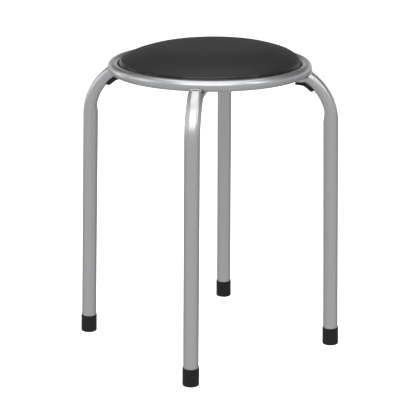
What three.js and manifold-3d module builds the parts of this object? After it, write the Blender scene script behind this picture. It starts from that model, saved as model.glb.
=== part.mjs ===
// Stacking stool: a round padded seat in a ring of steel tube, carried by two bent tube frames that
// cross under it and stand on four capped legs.
// Millimetres, +Z up, origin on the floor below the middle of the seat. One frame makes the legs on
// the X axis and the other the legs on the Y axis.
import * as THREE from 'three';
import { mergeVertices } from 'three/addons/utils/BufferGeometryUtils.js';
import Module from 'manifold-3d';

const wasm = await Module();
wasm.setup();

// Driving dimensions.

const touchGap = 0.3;            // left between pieces that rest on each other
const frameHeight = 420.7;       // floor to the flat top of the frames, which carries the seat

// Steel tube of the leg frames.
const tubeRadius = 11.1;
const tubeWall = 1.2;
const bendRadius = 80.4;         // to the middle of the tube
const legSplay = THREE.MathUtils.degToRad(1.49);
const bendDrop = 72.6;           // from the flat top of the frames down to the middle of the bends
const legOutset = 38.1;          // from the middle of the ring's tube out to the top of a leg
const ovalShare = 0.83;          // thickness left in a bend, of the tube's diameter
const ovalRun = THREE.MathUtils.degToRad(16);   // angle over which the round tube goes oval
const pressedShare = 0.5;        // thickness left under the seat, of the tube's diameter
const wideMargin = 8;            // how far the pressed tube keeps its full width out past the screws
const lapMargin = 1.5;           // room on each side of the frame that crosses
const lapRamp = 12;              // length of the step down into the crossing
const flatBlendPower = 40;       // how sharply the bend's underside turns into the pressed flat

// Ring of steel tube round the seat.
const ringRadius = 142.9;        // to the middle of the tube
const ringTubeRadius = 8;
const ringTubeWall = 1.2;

// Seat pad.
const padClearance = 0.5;        // between the cover and the ring
const coverThickness = 0.9;
const coverHem = 20;             // width turned under the board
const boardThickness = 9;
const boardInset = 1.6;          // how much smaller the board is than the foam at its widest
const foamSide = 1.3;            // from the board up to where the pad is widest
const crownHeight = 26.8;        // from there to the top of the cover
const crownSidePower = 4;        // how square the crown's shoulder is across
const crownTopPower = 2;         // and upwards
const boardEdgeRound = 1.5;      // on the cover where it turns under the board

// Screws that hold the board down on the frames, and the pronged nuts in the board that take them.
const screwInset = 46.6;         // from the board's edge
const screwRadius = 2.5;
const screwHeadRadius = 5.4;
const screwHeadHeight = 2.7;
const screwBite = 5;             // length inside the nut
const screwTip = 1.5;            // length of the pointed end
const headFlangeShare = 0.3;     // thickness of the head's flange, of the head
const panShare = 0.72;           // radius of the pan, of the head
const panFlatShare = 0.8;        // radius of the pan's flat end, of the pan
const panRoundShare = 0.35;      // height of the pan's rounding, of the head
const recessWidth = 0.9;         // cross recess
const recessLength = 4.6;
const recessDepth = 1.3;
const nutRadius = 3.7;
const nutLength = 7.5;
const nutFlangeRadius = 8.5;
const nutFlangeThickness = 1.2;
const prongLength = 5;
const prongWidth = 2.4;
const prongThickness = 1;

// Black plastic caps on the legs.
const capHeight = 26.4;
const capWall = 0.8;
const capClearance = 0.25;       // between the tube and the cap
const capFloor = 3;              // plastic under the end of the tube
const capRound = 1.2;            // on its outer edges, top and bottom

// Black plastic pads under the bends.
const stackPadThickness = 4.6;
const stackPadFrom = THREE.MathUtils.degToRad(42.5);   // angles round the bend, from level outwards
const stackPadTo = THREE.MathUtils.degToRad(66);
const stackPadWrap = THREE.MathUtils.degToRad(42);     // how far it reaches up each side of the tube
const pegRadius = 2.6;
const pegLength = 5.4;           // from the pad up into the tube
const pegHeadRadius = 3.4;
const pegClearance = 0.25;
const pegHeadGap = 0.5;          // play between the tube's wall and the head, which the bend curves into

// Numbers of sides and steps.
const tubeSides = 24;
const boreSides = 12;
const ringSides = 16;
const ringBoreSides = 6;
const ringSteps = 52;
const seatSides = 48;
const seatSteps = 8;
const capSides = 24;
const smallSides = 16;
const edgeSteps = 2;
const bendStepsToPad = 5;
const bendStepsOnPad = 3;
const hollowSteps = 5;
const meshTolerance = 0.01;      // triangles flatter than this are cleaned out of the stacking pads

// Counts of pieces and features.
const legNames = ['right', 'rear', 'left', 'front'];
const legs = legNames.length;
const legsPerFrame = legs / 2;
const prongs = 4;

const quarter = Math.PI / 2;
const fullTurn = 2 * Math.PI;

// Materials.

const silverPaint = new THREE.MeshStandardMaterial({ color: 0xa6a7a8, roughness: 0.36, metalness: 0.75 });
const blackVinyl = new THREE.MeshStandardMaterial({ color: 0x2b2b2c, roughness: 0.5, metalness: 0 });
const greyFoam = new THREE.MeshStandardMaterial({ color: 0xb9b5a8, roughness: 1, metalness: 0 });
const plywood = new THREE.MeshStandardMaterial({ color: 0xc19a63, roughness: 0.75, metalness: 0 });
const blackPlastic = new THREE.MeshStandardMaterial({ color: 0x1a1a1b, roughness: 0.55, metalness: 0 });
const zincSteel = new THREE.MeshStandardMaterial({ color: 0xb8bbbf, roughness: 0.35, metalness: 0.9 });

// Solids.

const stool = new THREE.Group();

function place(name, geometry, material) {
  const mesh = new THREE.Mesh(geometry, material);
  mesh.name = name;
  stool.add(mesh);
  return mesh;
}

// A geometry as a solid that can be cut or joined.
function solid(geometry) {
  const bare = geometry.clone();
  bare.deleteAttribute('normal');
  bare.deleteAttribute('uv');
  const merged = mergeVertices(bare);
  return new wasm.Manifold(new wasm.Mesh({
    numProp: 3,
    vertProperties: merged.attributes.position.array,
    triVerts: new Uint32Array(merged.index.array),
  }));
}

// A solid as a geometry with flat-shaded faces.
function geometryOf(made) {
  const { vertProperties, triVerts } = made.getMesh();
  const geometry = new THREE.BufferGeometry();
  geometry.setAttribute('position', new THREE.BufferAttribute(vertProperties, 3));
  geometry.setIndex(new THREE.BufferAttribute(triVerts, 1));
  geometry.computeVertexNormals();
  return geometry;
}

// A profile of [radius, height] points turned round the Z axis. It runs with the solid on its left.
function turned(profile, sides) {
  const points = profile.map(([radius, height]) => new THREE.Vector2(radius, height));
  return new THREE.LatheGeometry(points, sides).rotateX(quarter);
}

// A plain round rod along Z from low to high.
function rod(radius, low, high, sides = smallSides) {
  return turned([[0, low], [radius, low], [radius, high], [0, high]], sides);
}

// A solid joined with, or cut by, copies of a geometry set evenly round the Z axis.
function allRound(made, geometry, count, kind) {
  let result = made;
  for (let i = 0; i < count; i += 1) {
    result = result[kind](solid(geometry.clone().rotateZ(fullTurn * i / count)));
  }
  return result;
}

// An arc of a profile, as [radius, height] points between two angles.
function arcPoints(centreRadius, centreHeight, radius, from, to, steps) {
  const points = [];
  for (let i = 0; i <= steps; i += 1) {
    const angle = from + (to - from) * i / steps;
    points.push([centreRadius + radius * Math.cos(angle), centreHeight + radius * Math.sin(angle)]);
  }
  return points;
}

// Sizes of the seat that the frames follow.

const padRadius = ringRadius - ringTubeRadius - padClearance;
const foamInset = coverThickness + touchGap;
const foamRadius = padRadius - foamInset;
const boardRadius = foamRadius - boardInset;
const screwReach = boardRadius - screwInset;
const ringHeight = frameHeight + touchGap + ringTubeRadius;

// The shape of a leg frame, in its own plane: x out from the middle, z up.
// Round tube stands in the legs. It goes oval in the bends, and the press flattens what is under the
// seat, so that its top is level and carries the board. Where the ring crosses, the press leaves a
// round hollow that the ring lies in.

const tubeDiameter = 2 * tubeRadius;
const pressedThickness = pressedShare * tubeDiameter;
const legTopReach = ringRadius + legOutset;
const bendReach = legTopReach - bendRadius * Math.cos(legSplay);
const bendOuter = bendRadius + tubeRadius;
const bendInnerRound = bendRadius - tubeRadius;
const bendInnerOval = bendOuter - ovalShare * tubeDiameter;
const undersideRise = bendDrop - pressedThickness;
const bendHeight = frameHeight - bendDrop;
const frameUnderside = frameHeight - pressedThickness;
const bendStartHeight = bendHeight + bendRadius * Math.sin(legSplay);
const footReach = legTopReach + bendStartHeight * Math.tan(legSplay);
const tubeFootHeight = capFloor + touchGap;

// The hollow for the ring. The rays from the middle of the bend meet it between two angles.
const hollowRadius = ringTubeRadius + touchGap;
const ringFromBend = new THREE.Vector2(ringRadius - bendReach, ringHeight - bendHeight);
const hollowFrom = ringFromBend.angle() - Math.asin(hollowRadius / ringFromBend.length());
const hollowTo = new THREE.Vector2(ringFromBend.x, bendDrop).angle();

// How far a ray from the middle of the bend runs before it comes out at the top of the tube.
function topReach(angle) {
  if (angle < hollowFrom) return bendOuter;
  if (angle >= hollowTo) return bendDrop / Math.sin(angle);
  const ray = new THREE.Vector2(Math.cos(angle), Math.sin(angle));
  const depth = hollowRadius ** 2 - ray.cross(ringFromBend) ** 2;
  return Math.min(bendOuter, ray.dot(ringFromBend) - Math.sqrt(Math.max(0, depth)));
}

// The nearer of two radii, with the corner between them rounded off.
function roundedNearer(a, b) {
  return (a ** -flatBlendPower + b ** -flatBlendPower) ** (-1 / flatBlendPower);
}

// The pressed tube keeps its full width this far out. Beyond, the press folds its sides in until it is
// as wide as the round tube.
const wideReach = screwReach + wideMargin;

// A station of the tube: its centre, the way it runs, the way its top faces, half its thickness, and
// its width as a share from the round tube's to the full one.
function station(top, bottom) {
  const centre = new THREE.Vector3((top[0] + bottom[0]) / 2, 0, (top[1] + bottom[1]) / 2);
  const out = new THREE.Vector3(top[0] - bottom[0], 0, top[1] - bottom[1]);
  const half = out.length() / 2;
  const spread = 1 - THREE.MathUtils.smoothstep(centre.x, wideReach, bendReach);
  out.normalize();
  return { centre, out, half, spread, along: new THREE.Vector3(-out.z, 0, out.x) };
}

// The station on the ray at an angle round the bend, from level outwards to straight up.
function bendStation(angle) {
  const share = THREE.MathUtils.smoothstep(angle, legSplay, legSplay + ovalRun);
  const inner = THREE.MathUtils.lerp(bendInnerRound, bendInnerOval, share);
  const bottom = roundedNearer(inner, undersideRise / Math.sin(angle));
  const onRay = (radius) => [bendReach + radius * Math.cos(angle), bendHeight + radius * Math.sin(angle)];
  return station(onRay(topReach(angle)), onRay(bottom));
}

function legStation(height) {
  const out = new THREE.Vector3(Math.cos(legSplay), 0, Math.sin(legSplay));
  const centre = new THREE.Vector3(footReach - height * Math.tan(legSplay), 0, height);
  return { centre, out, half: tubeRadius, spread: 0, along: new THREE.Vector3(-out.z, 0, out.x) };
}

function steps(from, to, count) {
  return Array.from({ length: count }, (_, i) => from + (to - from) * i / count);
}

const padAngles = [
  ...steps(stackPadFrom, hollowFrom, bendStepsOnPad),
  ...steps(hollowFrom, hollowTo, hollowSteps),
  hollowTo,
  stackPadTo,
];
const bendAngles = [...steps(legSplay, stackPadFrom, bendStepsToPad), ...padAngles, quarter];

// Where the frames cross, each is pressed again to half its thickness. The side frame keeps the
// upper half and the front frame the lower half.
const lapThickness = (pressedThickness - touchGap) / 2;
const flatHalfWidth = (half) => half + quarter * (tubeRadius - half);
const lapReach = flatHalfWidth(lapThickness / 2) + touchGap + lapMargin;

function frameStations(keepsTop) {
  const lapTop = keepsTop ? frameHeight : frameUnderside + lapThickness;
  const lapBottom = keepsTop ? frameHeight - lapThickness : frameUnderside;
  const half = [
    legStation(tubeFootHeight),
    ...bendAngles.map(bendStation),
    station([wideReach, frameHeight], [wideReach, frameUnderside]),
    station([lapReach + lapRamp, frameHeight], [lapReach + lapRamp, frameUnderside]),
    station([lapReach, lapTop], [lapReach, lapBottom]),
  ];
  const mirrored = half.map(({ centre, out, half: thickness, spread, along }) => ({
    centre: new THREE.Vector3(-centre.x, 0, centre.z),
    out: new THREE.Vector3(-out.x, 0, out.z),
    half: thickness,
    spread,
    along: new THREE.Vector3(along.x, 0, -along.z),
  }));
  return [...half, ...mirrored.reverse()];
}

// The path of a tube through its stations.
class FramePath extends THREE.Curve {
  constructor(stations) {
    super();
    this.stations = stations;
  }

  at(t) {
    return this.stations[Math.round(t * (this.stations.length - 1))];
  }

  getPointAt(t, target = new THREE.Vector3()) {
    return target.copy(this.at(t).centre);
  }

  getTangentAt(t, target = new THREE.Vector3()) {
    return target.copy(this.at(t).along);
  }
}

// Where a point of the round tube's section goes when the tube is pressed to a half thickness. The
// middle goes flat and the sides become half circles. At full width the wall keeps its length.
function pressPoint(across, up, half, spread) {
  const radius = Math.hypot(across, up);
  const angle = Math.atan2(Math.abs(across), Math.abs(up));
  const flat = quarter * (tubeRadius - half);
  const rim = radius - tubeRadius + half;
  const length = tubeRadius * angle;
  const turn = Math.max(0, (length - flat) / half);
  const wide = Math.min(length, flat) + rim * Math.sin(turn);
  const fullWidth = flatHalfWidth(half);
  const widthShare = THREE.MathUtils.lerp(tubeRadius, fullWidth, spread) / fullWidth;
  return [Math.sign(across) * wide * widthShare, Math.sign(up) * rim * Math.cos(turn)];
}

// A section drawn round the straight tube, run along the stations and pressed with it.
function formed(section, stations) {
  const geometry = new THREE.ExtrudeGeometry(section, {
    steps: stations.length - 1,
    extrudePath: new FramePath(stations),
    curveSegments: tubeSides,
  });
  const position = geometry.attributes.position;
  const point = new THREE.Vector3();
  const offset = new THREE.Vector3();
  for (let i = 0; i < position.count; i += 1) {
    point.fromBufferAttribute(position, i);
    let own = stations[0];
    let least = Infinity;
    for (const candidate of stations) {
      offset.subVectors(point, candidate.centre);
      const off = Math.abs(offset.dot(candidate.along));
      if (off < least && offset.length() < tubeDiameter) {
        least = off;
        own = candidate;
      }
    }
    offset.subVectors(point, own.centre);
    const [across, up] = pressPoint(offset.y, offset.dot(own.out), own.half, own.spread);
    point.copy(own.centre).addScaledVector(own.out, up);
    position.setXYZ(i, point.x, across, point.z);
  }
  return geometry;
}

// A circle as a polygon with a corner at its top.
function circleOf(radius, sides, Kind = THREE.Shape) {
  const corners = Array.from({ length: sides }, (_, i) => {
    const angle = quarter + fullTurn * i / sides;
    return new THREE.Vector2(radius * Math.cos(angle), radius * Math.sin(angle));
  });
  return new Kind(corners);
}

function tubeSection(radius, wall, sides, innerSides) {
  const section = circleOf(radius, sides);
  section.holes.push(circleOf(radius - wall, innerSides, THREE.Path));
  return section;
}

// Screw places along a frame, and the middle of each stacking pad's peg.
const screwHoleRadius = screwRadius + touchGap;
const pegAngle = (stackPadFrom + stackPadTo) / 2;
const pegStation = bendStation(pegAngle);
const pegRoot = pegStation.centre.clone().addScaledVector(pegStation.out, -pegStation.half);
const pegTurn = new THREE.Quaternion().setFromUnitVectors(new THREE.Vector3(0, 0, 1), pegStation.out);

function atPeg(geometry) {
  const matrix = new THREE.Matrix4().makeRotationFromQuaternion(pegTurn).setPosition(pegRoot);
  return geometry.applyMatrix4(matrix);
}

function legFrame(keepsTop) {
  const section = tubeSection(tubeRadius, tubeWall, tubeSides, boreSides);
  const screwHole = rod(screwHoleRadius, frameUnderside - tubeWall, frameHeight + tubeWall);
  const pegHole = atPeg(rod(pegRadius + pegClearance, -tubeWall, 2 * tubeWall));
  let frame = solid(formed(section, frameStations(keepsTop)));
  frame = allRound(frame, screwHole.translate(screwReach, 0, 0), legsPerFrame, 'subtract');
  frame = allRound(frame, pegHole, legsPerFrame, 'subtract');
  return geometryOf(frame);
}

place('leg_frame_side', legFrame(true), silverPaint);
place('leg_frame_front', legFrame(false), silverPaint).rotation.z = quarter;

// The seat ring: a tube rolled to a circle, with its butt joint at the back, between two legs.

const ringJoint = 3 * quarter / 2;
const ringJointAngle = touchGap / ringRadius;

class RingPath extends THREE.Curve {
  getPoint(t, target = new THREE.Vector3()) {
    const angle = ringJoint + ringJointAngle / 2 + t * (fullTurn - ringJointAngle);
    return target.set(ringRadius * Math.cos(angle), ringRadius * Math.sin(angle), ringHeight);
  }
}

const ringGeometry = new THREE.ExtrudeGeometry(
  tubeSection(ringTubeRadius, ringTubeWall, ringSides, ringBoreSides),
  { steps: ringSteps, extrudePath: new RingPath() },
);
place('seat_ring', ringGeometry, silverPaint);

// The seat pad: a vinyl cover round a foam disc and a board. The cover's hem is turned under the
// board and lies on the frames.

const hemBottom = frameHeight + touchGap;
const hemTop = hemBottom + coverThickness;
const boardBottom = hemTop + touchGap;
const boardTop = boardBottom + boardThickness;
const foamBottom = boardTop + touchGap;
const crownStart = foamBottom + foamSide;

// The crown of the pad at a depth under the cover's outside, from the middle out and down to where
// the pad is widest.
function crownPoints(depth) {
  return [...steps(0, quarter, seatSteps), quarter].map((angle) => [
    (padRadius - depth) * Math.sin(angle) ** (2 / crownSidePower),
    crownStart + (crownHeight - depth) * Math.cos(angle) ** (2 / crownTopPower),
  ]);
}

const coverEdge = boardRadius + foamInset;
const hemTurnRadius = coverEdge - boardEdgeRound;
const hemTurnHeight = hemBottom + boardEdgeRound;
const hemTurn = arcPoints(hemTurnRadius, hemTurnHeight, boardEdgeRound, -quarter, 0, edgeSteps);
const coverProfile = [
  ...crownPoints(coverThickness),
  [boardRadius + touchGap, boardTop],
  [boardRadius + touchGap, hemTop],
  [boardRadius - coverHem, hemTop],
  [boardRadius - coverHem, hemBottom],
  ...hemTurn,
  [coverEdge, boardTop],
  ...crownPoints(0).reverse(),
];
place('seat_cover', turned(coverProfile, seatSides), blackVinyl);

// The nuts sit in holes through the board, with their flanges in a recess in the foam.
const headTop = frameUnderside - touchGap;
const nutFlangeBottom = boardTop + touchGap;
const nutTop = nutFlangeBottom + nutFlangeThickness;
const nutBottom = nutTop - nutLength;
const screwTop = nutBottom + screwBite;

const foamProfile = [[0, foamBottom], [boardRadius, foamBottom], ...crownPoints(foamInset).reverse()];
const nutRecess = rod(nutFlangeRadius + touchGap, boardTop, nutTop + touchGap).translate(screwReach, 0, 0);
const foam = allRound(solid(turned(foamProfile, seatSides)), nutRecess, legs, 'subtract');
place('seat_foam', geometryOf(foam), greyFoam);

// A prong of a nut, or with a clearance round it the slot that it cuts in the board.
function prong(clearance) {
  const reach = nutFlangeRadius - prongThickness / 2;
  const length = prongLength + nutFlangeThickness / 2 + clearance;
  return new THREE.BoxGeometry(prongThickness + 2 * clearance, prongWidth + 2 * clearance, length)
    .translate(reach, 0, nutFlangeBottom + nutFlangeThickness / 2 - length / 2);
}

const nutProfile = [
  [nutRadius, nutBottom],
  [nutRadius, nutFlangeBottom],
  [nutFlangeRadius, nutFlangeBottom],
  [nutFlangeRadius, nutTop],
  [screwHoleRadius, nutTop],
  [screwHoleRadius, nutBottom],
  [nutRadius, nutBottom],
];
const nut = allRound(solid(turned(nutProfile, smallSides)), prong(0), prongs, 'add');

let nutHole = solid(rod(nutRadius + touchGap, boardBottom - touchGap, boardTop + touchGap));
nutHole = allRound(nutHole, prong(touchGap), prongs, 'add');
const nutHoleGeometry = geometryOf(nutHole).translate(screwReach, 0, 0);
const boardDisc = solid(rod(boardRadius, boardBottom, boardTop, seatSides));
const board = allRound(boardDisc, nutHoleGeometry, legs, 'subtract');
place('seat_board', geometryOf(board), plywood);

// Screws, from below, with a flanged pan head and a cross recess.

const headBottom = headTop - screwHeadHeight;

const panRadius = panShare * screwHeadRadius;
const flangeHeight = headFlangeShare * screwHeadHeight;
const screwProfile = [
  [0, headBottom],
  [panFlatShare * panRadius, headBottom],
  [panRadius, headBottom + panRoundShare * screwHeadHeight],
  [panRadius, headTop - flangeHeight],
  [screwHeadRadius, headTop - flangeHeight / 2],
  [screwHeadRadius, headTop],
  [screwRadius, headTop],
  [screwRadius, screwTop - screwTip],
  [screwRadius / 2, screwTop],
  [0, screwTop],
];
const recessBlade = new THREE.BoxGeometry(recessLength, recessWidth, 2 * recessDepth)
  .translate(0, 0, headBottom);
const screw = solid(turned(screwProfile, smallSides))
  .subtract(solid(recessBlade))
  .subtract(solid(recessBlade.clone().rotateZ(quarter)));

// Pieces that come once for each leg.

const capInner = tubeRadius + capClearance;
const capOuter = capInner + capWall;
const capProfile = [
  [0, -capFloor],
  [capOuter - capRound, -capFloor],
  [capOuter - capRound, 0],
  [capOuter, capRound],
  [capOuter, capHeight - capRound],
  [capOuter - capRound / 2, capHeight],
  [capInner, capHeight],
  [capInner, capFloor],
  [0, capFloor],
];

// The cap leans with its leg, and is cut level where it stands on the floor.
const legLean = new THREE.Matrix4().makeRotationY(-legSplay).setPosition(footReach, 0, 0);
const cutWidth = 4 * capOuter;
const underFloor = new THREE.BoxGeometry(cutWidth, cutWidth, 2 * capFloor);
const cap = solid(turned(capProfile, capSides).applyMatrix4(legLean))
  .subtract(solid(underFloor.translate(footReach, 0, -capFloor)));

// The pad is a saddle round the underside of the bend, with a peg that snaps into the tube.
function saddleSection() {
  const corner = (radius, angle) => new THREE.Vector2(radius * Math.sin(angle), -radius * Math.cos(angle));
  const angles = [];
  const step = fullTurn / tubeSides;
  for (let angle = 0; angle < stackPadWrap; angle += step) angles.push(angle);
  angles.push(stackPadWrap);
  const around = [...angles.slice(1).reverse().map((angle) => -angle), ...angles];
  const inner = around.map((angle) => corner(tubeRadius + touchGap, angle));
  const outer = around.map((angle) => corner(tubeRadius + touchGap + stackPadThickness, angle));
  return new THREE.Shape([...outer, ...inner.reverse()]);
}

const padStations = padAngles.map(bendStation);
const pegProfile = [
  [0, -touchGap - stackPadThickness / 2],
  [pegRadius, -touchGap - stackPadThickness / 2],
  [pegRadius, tubeWall + pegHeadGap],
  [pegHeadRadius, tubeWall + pegHeadGap],
  [pegRadius / 2, pegLength],
  [0, pegLength],
];
const stackPad = solid(formed(saddleSection(), padStations))
  .add(solid(atPeg(turned(pegProfile, smallSides))))
  .simplify(meshTolerance);

legNames.forEach((leg, i) => {
  const turn = i * quarter;
  place(`foot_cap_${leg}`, geometryOf(cap), blackPlastic).rotation.z = turn;
  place(`stack_pad_${leg}`, geometryOf(stackPad), blackPlastic).rotation.z = turn;
  for (const [piece, made] of [['seat_screw', screw], ['seat_nut', nut]]) {
    const fixing = place(`${piece}_${leg}`, geometryOf(made), zincSteel);
    fixing.position.set(screwReach * Math.cos(turn), screwReach * Math.sin(turn), 0);
  }
});

export default stool;
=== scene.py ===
# Stacking stool: a round padded seat in a ring of steel tube, on two bent tube frames that cross under
# it and stand on four capped legs. Metres, +Z up, origin on the floor below the middle of the seat.
import math

import bmesh
import bpy
from mathutils import Matrix, Vector, noise


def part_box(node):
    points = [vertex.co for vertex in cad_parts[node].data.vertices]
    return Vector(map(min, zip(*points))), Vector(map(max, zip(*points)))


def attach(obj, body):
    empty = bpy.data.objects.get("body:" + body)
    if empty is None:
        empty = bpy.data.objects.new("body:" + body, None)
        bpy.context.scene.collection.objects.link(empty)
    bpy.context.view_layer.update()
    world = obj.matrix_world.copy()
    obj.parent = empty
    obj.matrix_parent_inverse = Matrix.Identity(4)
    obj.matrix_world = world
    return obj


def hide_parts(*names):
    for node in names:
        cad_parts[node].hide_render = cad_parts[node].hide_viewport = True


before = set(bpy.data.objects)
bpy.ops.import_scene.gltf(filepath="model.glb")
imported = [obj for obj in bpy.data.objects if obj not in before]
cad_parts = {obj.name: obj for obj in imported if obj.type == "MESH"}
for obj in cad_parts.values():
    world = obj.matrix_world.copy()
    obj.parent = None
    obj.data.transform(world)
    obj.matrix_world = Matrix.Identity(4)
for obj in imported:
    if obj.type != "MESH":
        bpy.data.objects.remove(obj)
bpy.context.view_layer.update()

body = "root"


# Leg frames. Each is one length of thin steel tube bent twice into a U, so that its ends are two legs.
# The bending press leaves the bends oval and the run under the seat flat, and where the frames cross,
# each is pressed again to half of that. They are welded up and then painted silver all over.

mm = 0.001
quarter_turn = math.pi / 2
full_turn = 2 * math.pi
legs = 4
touch_gap = 0.3 * mm  # left between pieces that rest on each other

frame_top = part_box("seat_ring")[0].z - touch_gap  # the frames' flat top, which the ring rests on
tube_radius = 11.1 * mm
tube_wall = 1.2 * mm
tube_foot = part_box("leg_frame_side")[0].z
bend_radius = 80.4 * mm  # to the middle of the tube
leg_splay = math.radians(1.49)
ring_radius = 142.9 * mm  # the seat ring's, to the middle of its tube
ring_tube_radius = 8 * mm
leg_outset = 38.1 * mm  # from the middle of the ring's tube out to the top of a leg
bend_drop = 72.6 * mm  # from the frames' flat top down to the middle of the bends
oval_share = 0.83  # thickness left in a bend, of the tube's diameter
pressed_share = 0.5  # thickness left under the seat, of the tube's diameter
oval_run = math.radians(16)  # angle over which the round tube goes oval
flat_blend_power = 40  # how sharply the bend's underside turns into the flat
screw_reach = 85 * mm  # from the middle of the seat
wide_reach = screw_reach + 8 * mm  # the pressed tube keeps its full width out to here
lap_margin = 1.5 * mm  # room on each side of the frame that crosses
lap_ramp = 12 * mm  # length of the step down into the crossing
tube_sides = 48
leg_steps = 12
bend_steps = 60
hollow_steps = 12
flat_steps = 24
ramp_steps = 10

pressed_thickness = pressed_share * 2 * tube_radius
frame_underside = frame_top - pressed_thickness
leg_top_reach = ring_radius + leg_outset
bend_reach = leg_top_reach - bend_radius * math.cos(leg_splay)
bend_outer = bend_radius + tube_radius
bend_height = frame_top - bend_drop
bend_start = bend_height + bend_radius * math.sin(leg_splay)
foot_reach = leg_top_reach + bend_start * math.tan(leg_splay)

# The ring lies in a round hollow pressed in each bend, between two angles round the bend.
hollow_radius = ring_tube_radius + touch_gap
ring_from_bend = Vector((ring_radius - bend_reach, bend_drop + hollow_radius))
hollow_from = math.atan2(ring_from_bend.y, ring_from_bend.x)
hollow_from -= math.asin(hollow_radius / ring_from_bend.length)
hollow_to = math.atan2(bend_drop, ring_from_bend.x)


def smooth_share(value, low, high):
    """0 below low, 1 above high, and a smooth S between them."""
    share = min(1, max(0, (value - low) / (high - low)))
    return share * share * (3 - 2 * share)


def station(top, bottom):
    """A station of the tube, from its top and bottom point: its centre, the way its top faces, half its
    thickness, and its width from that of the round tube at 0 to that of the flattened wall at 1."""
    top, bottom = Vector((top[0], 0, top[1])), Vector((bottom[0], 0, bottom[1]))
    centre = (top + bottom) / 2
    spread = 1 - smooth_share(centre.x, wide_reach, bend_reach)
    return centre, (top - bottom).normalized(), (top - bottom).length / 2, spread


def bend_station(angle):
    """The station at an angle round the bend, from level outwards to straight up."""
    ray = Vector((math.cos(angle), math.sin(angle)))
    if angle < hollow_from:
        top = bend_outer
    elif angle < hollow_to:
        depth = hollow_radius ** 2 - ray.cross(ring_from_bend) ** 2
        top = min(bend_outer, ray.dot(ring_from_bend) - math.sqrt(max(0, depth)))
    else:
        top = bend_drop / ray.y
    thinned = (1 - oval_share) * 2 * tube_radius * smooth_share(angle, leg_splay, leg_splay + oval_run)
    inner = bend_radius - tube_radius + thinned
    flat = (bend_drop - pressed_thickness) / ray.y
    bottom = (inner ** -flat_blend_power + flat ** -flat_blend_power) ** (-1 / flat_blend_power)
    middle = Vector((bend_reach, bend_height))
    return station(middle + ray * top, middle + ray * bottom)


def leg_station(height):
    centre = Vector((foot_reach - height * math.tan(leg_splay), 0, height))
    return centre, Vector((math.cos(leg_splay), 0, math.sin(leg_splay))), tube_radius, 0


def flat_half_width(half):
    return half + quarter_turn * (tube_radius - half)


lap_thickness = (pressed_thickness - touch_gap) / 2
lap_reach = flat_half_width(lap_thickness / 2) + touch_gap + lap_margin


def frame_stations(keeps_top):
    """The stations of a frame from one foot to the other."""
    half = [leg_station(tube_foot + (bend_start - tube_foot) * i / leg_steps) for i in range(leg_steps)]
    angle = leg_splay
    for end, steps in ((hollow_from, bend_steps), (hollow_to, hollow_steps), (quarter_turn, flat_steps)):
        half += [bend_station(angle + (end - angle) * i / steps) for i in range(steps)]
        angle = end
    for i in range(ramp_steps + 1):
        reach = bend_reach + (wide_reach - bend_reach) * i / ramp_steps
        half.append(station((reach, frame_top), (reach, frame_underside)))
    for i in range(ramp_steps + 1):
        pressed = smooth_share(i, 0, ramp_steps) * (pressed_thickness - lap_thickness)
        reach = lap_reach + lap_ramp * (1 - i / ramp_steps)
        top, bottom = frame_top, frame_underside
        if keeps_top:
            bottom += pressed
        else:
            top -= pressed
        half.append(station((reach, top), (reach, bottom)))
    other = [
        (Vector((-centre.x, 0, centre.z)), Vector((-out.x, 0, out.z)), thickness, spread)
        for centre, out, thickness, spread in reversed(half)
    ]
    return half + other


def press_point(radius, angle, half, spread):
    """Where a point of the round tube's section goes when the tube is pressed, by its angle from the top."""
    across, up = radius * math.sin(angle), radius * math.cos(angle)
    length = tube_radius * math.atan2(abs(across), abs(up))
    flat = quarter_turn * (tube_radius - half)
    rim = radius - tube_radius + half
    turn = max(0, (length - flat) / half)
    wide = min(length, flat) + rim * math.sin(turn)
    full_width = flat_half_width(half)
    wide *= (tube_radius + (full_width - tube_radius) * spread) / full_width
    return math.copysign(wide, across), math.copysign(rim * math.cos(turn), up)


def tube_point(place, radius, angle):
    """The point of a tube's section at a station, at this angle from its top."""
    centre, out, half, spread = place
    across, up = press_point(radius, angle, half, spread)
    return centre + out * up + Vector((0, across, 0))


crease = math.radians(35)  # edges sharper than this aren't shaded smooth
merge_distance = 0.01 * mm
sliver_length = 0.001 * mm
drill_sides = 48


def add_object(name, data):
    """Puts a mesh, a light or a camera into the scene."""
    thing = bpy.data.objects.new(name, data)
    bpy.context.scene.collection.objects.link(thing)
    return thing


def mesh_piece(name, rows, material, ends_meet=False):
    """A piece from closed rows of points joined by quads. The last row may meet the first one."""
    width = len(rows[0])
    faces = []
    for i in range(len(rows) if ends_meet else len(rows) - 1):
        a, b = i * width, (i + 1) % len(rows) * width
        for j in range(width):
            faces.append((a + j, a + (j + 1) % width, b + (j + 1) % width, b + j))
    mesh = bpy.data.meshes.new(name)
    mesh.from_pydata([point for row in rows for point in row], [], faces)
    finish_mesh(mesh, crease)
    mesh.materials.append(material)
    return add_object(name, mesh)


def finish_mesh(mesh, sharp):
    """Merges doubles, turns the faces outwards, and shades smooth but for edges sharper than that angle."""
    shape = bmesh.new()
    shape.from_mesh(mesh)
    bmesh.ops.remove_doubles(shape, verts=shape.verts, dist=merge_distance)
    bmesh.ops.dissolve_degenerate(shape, edges=shape.edges, dist=sliver_length)
    bmesh.ops.recalc_face_normals(shape, faces=shape.faces)
    shape.to_mesh(mesh)
    shape.free()
    mesh.shade_smooth()
    mesh.set_sharp_from_angle(angle=sharp)


def settle(piece):
    """Makes a piece's modifiers part of its mesh."""
    evaluated = piece.evaluated_get(bpy.context.evaluated_depsgraph_get())
    made = bpy.data.meshes.new_from_object(evaluated)
    piece.modifiers.clear()
    piece.data = made
    return piece


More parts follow.
